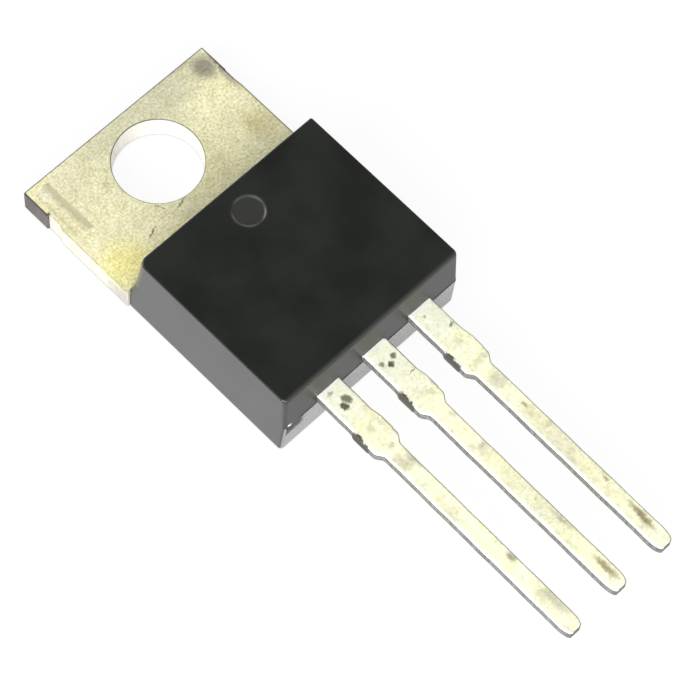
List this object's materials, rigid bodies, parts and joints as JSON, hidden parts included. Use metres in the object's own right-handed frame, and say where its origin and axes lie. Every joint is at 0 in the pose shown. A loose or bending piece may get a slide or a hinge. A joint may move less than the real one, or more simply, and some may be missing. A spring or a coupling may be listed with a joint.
{
  "type": "power transistor",
  "caption": "Power transistor with a black moulded body, a bare metal screw tab on its back and stamped leads.",
  "frame": {"origin": "centre of the screw hole, on the bare metal back", "axes": "+Z out of the front face, +Y towards the tab's end, so the leads point along -Y"},
  "size_m": [0.01, 0.0289, 0.0044],
  "materials": {
    "moulding": "satin, fine filler grain",
    "tab": "matte tin, slightly yellowed",
    "leads": "satin tin, stained",
    "chip": "polished",
    "solder": "satin",
    "wires": "drawn"
  },
  "bodies": {
    "root": {"moulding": "moulding", "tab_with_drain_lead": "tab", "gate_lead": "leads", "source_lead": "leads", "chip": "chip", "chip_solder": "solder", "gate_wire": "wires", "source_wire_inner": "wires", "source_wire_outer": "wires"}
  },
  "joints": []
}
